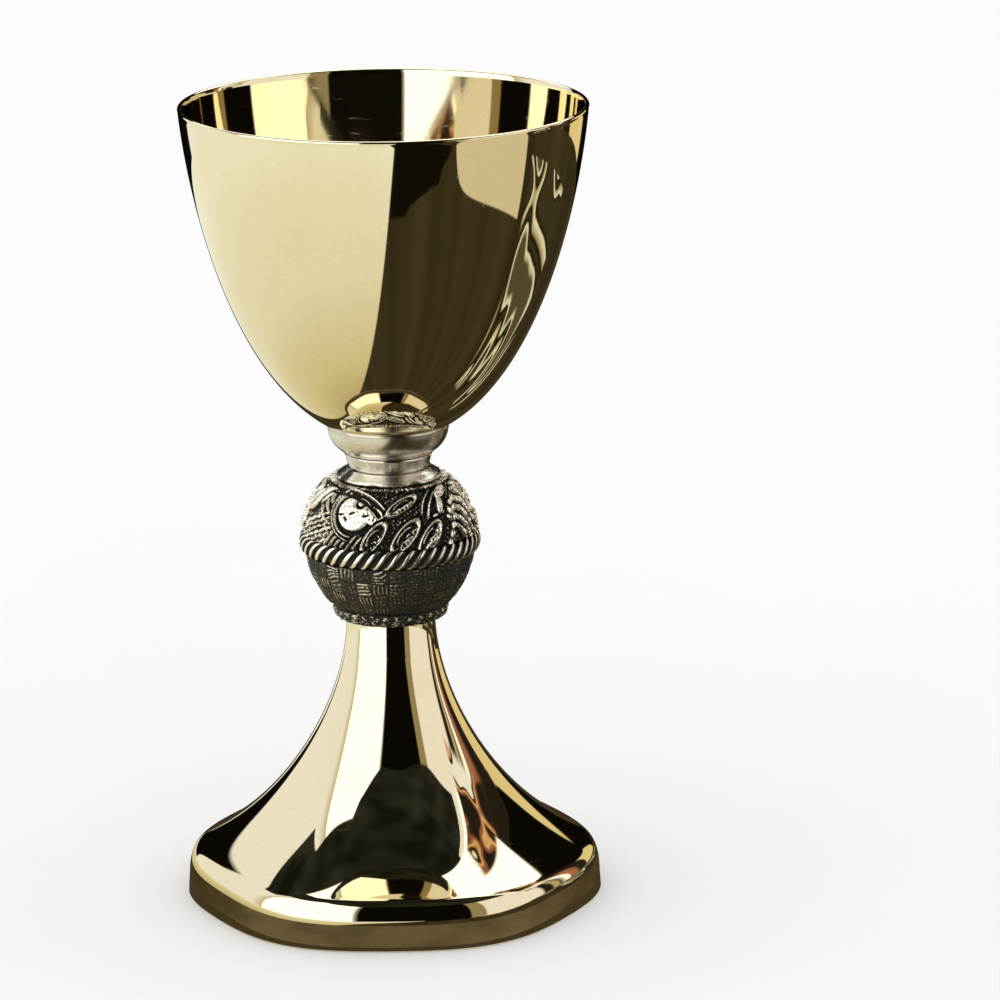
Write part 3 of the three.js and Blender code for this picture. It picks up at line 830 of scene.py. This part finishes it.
def make_hem(gold):
    """The flat ring inside the skirt's edge."""
    high = node_box("foot_hem_ring")[1]
    outer, inner = high.x, high.x - 3
    outline = rounded([(inner, 0), (outer, 0), (outer, high.z), (inner, high.z)], 0.5)
    piece("foot_hem", six_sided(revolve(outline, ROUND)), "foot_hem_ring", gold)


# ---------------------------------------------------------------- the stack inside

def make_turned(name, node, corners, look, bevel=0.2):
    grid = revolve(rounded(corners, bevel), COARSE_ROUND)
    piece(name, grid, node, look)


def make_bushes(brass):
    """Plain turned pieces inside the stack: discs, spacer and bush, each bored for the rod."""
    for node in ("upper_centring_disc", "spacer_tube", "lower_centring_disc", "stem_bush"):
        low, high = node_box(node)
        corners = [(ROD_BORE, low.z), (high.x, low.z), (high.x, high.z), (ROD_BORE, high.z)]
        make_turned(node + "_turned", node, corners, brass)


def make_boss(brass):
    """The threaded socket under the cup: a spigot below a flange that follows the cup's curve."""
    low, high = node_box("cup_boss")
    flange = node_box("neck_ring")[1].z - 1.4
    cup_low, cup_high = node_box("cup_bowl")
    under = offset(cup_profile(cup_low, cup_high)[:40], -GAP)
    seat = under[under[:, 0] < high.x]
    seat[0, 0] = 0
    socket = node_box("tie_rod")[1].z + GAP
    spigot, bevel = 5.6, 0.2
    profile = np.concatenate(
        [
            [(0, socket), (ROD_BORE, socket), (ROD_BORE, low.z + bevel), (ROD_BORE + bevel, low.z)],
            [(spigot - bevel, low.z), (spigot, low.z + bevel), (spigot, flange)],
            [(high.x - bevel, flange), (high.x, flange + bevel)],
            seat[::-1],
        ]
    )
    grid = revolve(profile, COARSE_ROUND)
    piece("cup_boss_turned", grid, "cup_boss", brass, closed=False)


def make_rod(steel):
    """The tie rod, with a rolled M6 thread at each end."""
    low, high = node_box("tie_rod")
    radius = high.x
    depth = 0.55
    threaded = 20
    z = np.concatenate(
        [
            np.arange(low.z, low.z + threaded, PITCH / 8),
            np.linspace(low.z + threaded, high.z - threaded, 12),
            np.arange(high.z - threaded, high.z, PITCH / 8)[1:],
            [high.z],
        ]
    )
    columns = 48
    angle = np.arange(columns) * TURN / columns
    phase = (z[:, None] / PITCH - angle[None] / TURN) % 1
    groove = np.clip(1 - np.abs(phase - 0.5) * 2.6, 0, 1) * depth
    ends = np.minimum(z - low.z, high.z - z)
    groove *= (ends < threaded)[:, None]
    limit = radius - np.clip(0.8 - ends, 0, 0.8)[:, None]
    skin = around(np.minimum(radius - groove, limit), z[:, None], angle)
    caps = [revolve(np.array([(0, value)]), columns) for value in (low.z, high.z)]
    grid = np.concatenate([caps[0], skin, caps[1]])
    piece("tie_rod_threaded", grid, "tie_rod", steel, closed=False, crease=30)


def make_nut(steel):
    """A hexagon nut: six flats cut back by a cone at both ends, and a chamfered bore."""
    low, high = node_box("hex_nut")
    flat = 5.0
    bore = 3.05
    columns = 180
    angle = np.arange(columns) * TURN / columns
    hexagon = flat / np.cos((angle + TURN / 12) % (TURN / 6) - TURN / 12)
    rise = np.linspace(0, 1, 18)
    z = low.z + (high.z - low.z) * (0.5 - 0.5 * np.cos(rise * math.pi))
    ends = np.minimum(z - low.z, high.z - z)
    cone = flat - 0.1 + ends * 1.9
    side = np.minimum(hexagon[None], cone[:, None])
    bevel = 0.5
    rows = [(bore + bevel, high.z), (bore, high.z - bevel), (bore, low.z + bevel), (bore + bevel, low.z)]
    inside = revolve(np.array(rows), columns)
    grid = np.concatenate([around(side, z[:, None], angle), inside])
    piece("hex_nut_chamfered", grid, "hex_nut", steel, crease=25)


def make_washers(steel):
    """The dished washer under the bush, and the split spring washer, whose ends stand a little apart."""
    low, high = node_box("cup_washer")
    flat, sheet = high.x - 2, 1.2
    corners = [
        (ROD_BORE, low.z), (flat, low.z), (high.x, high.z - sheet),
        (high.x, high.z), (flat, low.z + sheet), (ROD_BORE, low.z + sheet),
    ]
    make_turned("cup_washer_dished", "cup_washer", corners, steel, 0.3)
    low, high = node_box("spring_washer")
    outer = high.y
    half_gap, lift, play = 0.075, 0.12, 0.08
    angle = np.linspace(half_gap, TURN - half_gap, 120)
    rise = lift * (angle / TURN - 0.5)
    middle = (low.z + high.z) / 2
    half = (high.z - low.z) / 2 - play
    section = rounded([(ROD_BORE, -half), (outer, -half), (outer, half), (ROD_BORE, half)], 0.18)
    coil = around(section[:, :1], middle + section[:, 1:] + rise, angle).transpose(1, 0, 2)
    caps = [coil[index].mean(axis=0)[None, None] * np.ones((1, len(section), 1)) for index in (0, -1)]
    grid = np.concatenate([caps[0], coil, caps[1]])
    piece("spring_washer_split", grid, "spring_washer", steel, closed=False, crease=30)


# ---------------------------------------------------------------- studio

WHITE_CARD = (1.75, 1.72, 1.64)


def make_camera():
    """The photo's view: from the front, 15 degrees down, from nearly 1.5 m away."""
    data = bpy.data.cameras.new("camera")
    data.lens = 187.2
    data.sensor_width = 36
    data.clip_start = 0.05
    data.clip_end = 60
    camera = bpy.data.objects.new("camera", data)
    bpy.context.scene.collection.objects.link(camera)
    camera.location = (0.0304, -1.3807, 0.4736)
    pitch = math.radians(14.70)
    roll = math.radians(-0.55)
    aim = Euler((math.pi / 2 - pitch, 0, 0)).to_matrix() @ Euler((0, 0, roll)).to_matrix()
    camera.rotation_euler = aim.to_euler()
    bpy.context.scene.camera = camera


def make_floor():
    """A large pale floor, seen from above only."""
    made, tree = new_material("floor")
    shade = ramp(tree, noise(tree, place(tree), 3.0), [(0.3, grey(0.86)), (0.7, grey(0.88))])
    top = add(tree, "ShaderNodeBsdfDiffuse", {"Color": shade})
    clear = add(tree, "ShaderNodeBsdfTransparent")
    below = add(tree, "ShaderNodeNewGeometry").outputs["Backfacing"]
    surface = add(tree, "ShaderNodeMixShader", {0: below, 1: top.outputs[0], 2: clear.outputs[0]})
    add(tree, "ShaderNodeOutputMaterial", {"Surface": surface.outputs[0]})
    half = 8
    corners = [(-half, -half, 0), (half, -half, 0), (half, half, 0), (-half, half, 0)]
    mesh = bpy.data.meshes.new("floor")
    mesh.from_pydata(corners, [], [(0, 1, 2, 3)])
    floor = linked(mesh, made)


def compass(tree):
    """Where a point of the studio is: x, y, distance away from the axis, bearing and rise.

    Distances are in metres and angles in degrees; the bearing is 0 in front and grows to the right."""
    x, y, z = parts(tree)
    away = off_axis(tree, x, y)
    bearing = sums(tree, "DEGREES", sums(tree, "ARCTAN2", x, sums(tree, "MULTIPLY", y, -1.0)))
    rise = sums(tree, "DEGREES", sums(tree, "ARCTAN2", z, away))
    return SimpleNamespace(x=x, y=y, away=away, bearing=bearing, rise=rise)


def round_ramp(tree, bearing, stops):
    """A ramp over the bearing, from -180 to 180 degrees."""
    turned = sums(tree, "MULTIPLY_ADD", bearing, 1 / 360, 0.5)
    return ramp(tree, turned, [((degrees + 180) / 360, colour) for degrees, colour in stops])


def glow(name, build):
    """A material that only gives off light, of the colour that build works out."""
    made, tree = new_material(name)
    light = add(tree, "ShaderNodeEmission", {"Color": build(tree)})
    add(tree, "ShaderNodeOutputMaterial", {"Surface": light.outputs[0]})
    return made


def walls(tree, bearing):
    """A panel for each bearing, most with a crisp edge."""
    black, dim = (0.004, 0.003, 0.002), (0.02, 0.016, 0.01)
    cream, shade, warm = (0.96, 0.95, 0.91), (0.60, 0.54, 0.38), (0.96, 0.92, 0.85)
    tan, copper, yellow = (0.33, 0.26, 0.13), (0.42, 0.17, 0.10), (0.82, 0.67, 0.33)
    panels_from_to = [
        (-142, -142, black), (-141, -94, cream), (-84, -84, shade), (-83, -12, WHITE_CARD), (-11, 34, black),
        (35, 47, tan), (48, 101, warm), (102, 107, dim), (109, 109, yellow), (111, 111, dim),
        (114, 114, WHITE_CARD), (115, 119, copper), (120, 128, dim), (129, 149, yellow), (150, 150, black),
    ]
    stops = [(at, colour) for start, end, colour in panels_from_to for at in sorted({start, end})]
    return round_ramp(tree, bearing, stops)


def ceiling(tree, here):
    """The dark ceiling's colour, and where it starts: over the walls' wavy top edge."""
    # painted sheen: faint streaks of light in the dark ceiling, for the metal to mirror
    painted_sheen_lines = noise(tree, place(tree, (1, 1, 3)), 5.0, 1.0)
    colour = ramp(tree, painted_sheen_lines, [(0.35, (0.008, 0.008, 0.006)), (0.7, (0.030, 0.029, 0.022))])
    colour = mixed(tree, above(tree, here.bearing, 124, 3.0), colour, (0.004, 0.003, 0.002))
    tops = [(-98, 47), (-97, 58), (-42, 59), (-9, 43), (34, 45), (84, 45), (86, 66), (127, 66), (128, 23)]
    share = round_ramp(tree, here.bearing, [(bearing, grey(rise / 90)) for bearing, rise in tops])
    wave = sums(tree, "MULTIPLY_ADD", noise(tree, place(tree), 3.0, 0.0), 7.0, -3.5)
    top = sums(tree, "MULTIPLY_ADD", share, 90.0, wave)
    return colour, above(tree, here.rise, top, 0.5)


def foil(tree, here):
    """A heap of copper-coloured foil out of focus: its colour, and where it is."""
    stops = [
        (0.36, (0.02, 0.016, 0.01)), (0.40, (0.24, 0.08, 0.03)), (0.46, (0.42, 0.17, 0.10)),
        (0.49, (0.80, 0.52, 0.22)), (0.53, (0.60, 0.30, 0.12)), (0.56, (0.03, 0.02, 0.01)),
        (0.62, (0.05, 0.03, 0.01)), (0.65, (0.96, 0.95, 0.91)),
    ]
    folds = noise(tree, place(tree, (1, 1, 0.4)), 5.0, 0.0, 0.5, 1.5)
    heap = both(tree, between(tree, here.bearing, 94, 121, 1.5), between(tree, here.rise, 24, 61, 2.0))
    return ramp(tree, folds, stops), heap


def panels(tree):
    """The studio's walls and ceiling, a heap of foil before them and a white card up behind."""
    here = compass(tree)
    overhead, high = ceiling(tree, here)
    colour = mixed(tree, high, walls(tree, here.bearing), overhead)
    folds, heap = foil(tree, here)
    colour = mixed(tree, heap, colour, folds)
    side = sums(tree, "MULTIPLY_ADD", here.y, -0.54, -0.128)
    behind = both(tree, above(tree, here.y, 0.008, 0.004), above(tree, here.x, side, 0.004))
    behind = both(tree, behind, above(tree, here.rise, 39, 0.6))
    behind = both(tree, behind, without(tree, heap))
    return mixed(tree, behind, colour, WHITE_CARD)


def cream_table(tree, here):
    """Golden close to the chalice and pale further out: the gold close by is painted light bounced off the
    chalice, with painted shade.
    """
    tones = [
        (0.06, (0.55, 0.46, 0.25)), (0.11, (0.70, 0.63, 0.36)),
        (0.24, (0.85, 0.82, 0.64)), (0.6, (0.95, 0.95, 0.82)),
    ]
    return ramp(tree, here.away, tones)


def dark_table(tree, here):
    """Brown streaks that run outwards, with a nearly black, ragged area from some way out."""
    polar = joined(tree, sums(tree, "MULTIPLY", here.bearing, 0.16), here.away)
    streaks = noise(tree, polar, 0.45, 1.0)
    brown = ramp(tree, streaks, [(0.3, (0.034, 0.026, 0.011)), (0.7, (0.062, 0.049, 0.023))])
    start = sums(tree, "MULTIPLY_ADD", noise(tree, place(tree), 9.0, 1.0), 0.12, 0.275)
    start = sums(tree, "MULTIPLY_ADD", here.bearing, 0.0035, start)
    swerve = sums(tree, "MULTIPLY_ADD", noise(tree, place(tree), 7.0, 1.0), 30.0, here.bearing)
    black = both(tree, above(tree, here.away, start, 0.006), above(tree, here.bearing, 3, 1.5))
    black = both(tree, black, without(tree, above(tree, swerve, 50, 1.0)))
    return mixed(tree, black, brown, (0.006, 0.005, 0.002))


def beige_sheet(tree, here):
    """Where a beige sheet lies: far out on the right, its left side curving away from the chalice."""
    curve = sums(tree, "MAXIMUM", sums(tree, "SUBTRACT", here.bearing, 40.0), 0.1)
    hem = sums(tree, "ADD", sums(tree, "DIVIDE", 0.25, curve), 0.395)
    return both(tree, between(tree, here.bearing, 41, 88, 0.5), above(tree, here.away, hem, 0.003))


def bowls(tree, here):
    """Pale rims and dark hollows of shining things on the table: their colour, and where they are."""
    brown, black, pale = (0.05, 0.04, 0.018), (0.006, 0.005, 0.002), (0.92, 0.88, 0.66)
    stops = [
        (0.36, brown), (0.41, black), (0.43, pale), (0.49, (0.40, 0.33, 0.17)), (0.51, black),
        (0.55, brown), (0.60, black), (0.62, pale), (0.68, (0.10, 0.08, 0.04)),
    ]
    lanes = joined(tree, sums(tree, "MULTIPLY", here.bearing, 0.085), sums(tree, "MULTIPLY", here.away, 5.0))
    folds = noise(tree, lanes, 1.0, 0.0)
    heap = both(tree, between(tree, here.bearing, 93, 132, 1.0), between(tree, here.away, 0.11, 0.60, 0.004))
    return ramp(tree, folds, stops), heap


def sweep(tree):
    """The studio's table: cream on the left of a straight edge, dark with things on it on the right, and a
    painted contact shadow in a thin dark ring round the foot.
    """
    here = compass(tree)
    dark = mixed(tree, beige_sheet(tree, here), dark_table(tree, here), (0.71, 0.62, 0.42))
    rims, heap = bowls(tree, here)
    dark = mixed(tree, heap, dark, rims)
    edge = sums(tree, "MULTIPLY_ADD", here.y, -0.214, -0.0545)
    table = mixed(tree, above(tree, here.x, edge, 0.0015), cream_table(tree, here), dark)
    # painted contact shadow: a dark ring on the table just round the foot
    near = without(tree, above(tree, here.away, 0.0625, 0.001))
    return mixed(tree, near, table, (0.06, 0.047, 0.024))


def painted_skirt_shadow(tree):
    """Painted shadow for the foot's upright skirt to mirror: a dim strip standing for the contact shadow
    round the foot, lighter at the front and darker round the back.
    """
    tones = [
        (-140, (0.05, 0.038, 0.016)), (-75, (0.07, 0.053, 0.023)), (-40, (0.17, 0.135, 0.075)),
        (-5, (0.12, 0.095, 0.050)), (35, (0.15, 0.115, 0.062)), (80, (0.075, 0.055, 0.026)),
        (130, (0.04, 0.03, 0.013)),
    ]
    mottled = noise(tree, place(tree, (1, 1, 2.5)), 55.0, 3.0)
    shade = ramp(tree, mottled, [(0.35, grey(0.72)), (0.65, grey(1.15))])
    return mixed(tree, 1.0, round_ramp(tree, compass(tree).bearing, tones), shade, "MULTIPLY")


def beneath(tree):
    """What the hollow foot sees when it is looked at from below: light that falls off to the right."""
    tones = [
        (0.1, (0.95, 0.93, 0.86)), (0.42, (0.60, 0.54, 0.38)),
        (0.55, (0.10, 0.08, 0.05)), (0.9, (0.40, 0.34, 0.22)),
    ]
    return ramp(tree, sums(tree, "MULTIPLY_ADD", parts(tree)[0], 9.0, 0.5), tones)


def reflected_only(name, grid, build):
    """A glowing stage surface that only polished metal sees; it neither lights nor shades anything else."""
    made = linked(grid_mesh(name, grid, False), glow(name, build))
    made.visible_camera = False
    made.visible_diffuse = False
    made.visible_shadow = False
    made.visible_transmission = False


def make_reflections():
    """A closed studio round the chalice for its polished metal to mirror."""
    reach = 780
    dome = arc((0, 0), reach, 0, 90, 48)
    reflected_only("studio_walls", revolve(dome, STUDIO_ROUND), panels)
    level = 0.4
    table = np.array([(54, level), (reach, level)])
    reflected_only("studio_table", revolve(table, STUDIO_ROUND), sweep)
    hollow = np.array([(0.5, level), (53, level)])
    reflected_only("studio_beneath", revolve(hollow, STUDIO_ROUND), beneath)
    # painted contact shadow: a dim strip just outside the foot that only its skirt mirrors
    close = node_box("foot_shell")[1].x + 4.4
    strip = np.array([(close, 0.5), (close, 6.9)])
    reflected_only("studio_skirting", six_sided(revolve(strip, STUDIO_ROUND)), painted_skirt_shadow)


def make_world():
    """Soft even light from all round."""
    world = bpy.data.worlds.new("studio")
    bpy.context.scene.world = world
    world.use_nodes = True
    tree = world.node_tree
    tree.nodes.clear()
    even = add(tree, "ShaderNodeBackground", {"Color": (1, 1, 1, 1), "Strength": 1.12})
    add(tree, "ShaderNodeOutputWorld", {"Surface": even.outputs[0]})


# ---------------------------------------------------------------- build

bpy.context.scene.view_settings.view_transform = "Standard"
make_camera()
make_floor()
make_world()
make_reflections()

gold = gold_plate()
silver = satin_silver()
rubbed = antique_silver(
    "antique_silver", 0.5, dark=(0.010, 0.009, 0.008), middle=(0.24, 0.21, 0.16), bright=(0.93, 0.90, 0.82)
)
# painted shade: a darker, flatter copy of the antique silver for the knop's lower half and braid, which is
# also a little less rubbed
shaded_lower_silver = antique_silver(
    "shaded_less_rubbed_silver", 0.54, dark=(0.024, 0.022, 0.018), middle=(0.14, 0.13, 0.10), bright=(0.50, 0.47, 0.40)
)
brass = machined("turned_brass", (0.52, 0.38, 0.15), (0.68, 0.52, 0.24), 0.28)
steel = machined("plated_steel", (0.42, 0.43, 0.43), (0.60, 0.61, 0.60), 0.3)

make_cup(gold)
make_seat(silver)
make_neck(silver)
make_shoulder(rubbed)
make_upper_knop(rubbed)
make_rope(rubbed)
make_basket(shaded_lower_silver)
make_braid(shaded_lower_silver)
make_foot(gold)
make_hem(gold)
make_bushes(brass)
make_boss(brass)
make_rod(steel)
make_nut(steel)
make_washers(steel)
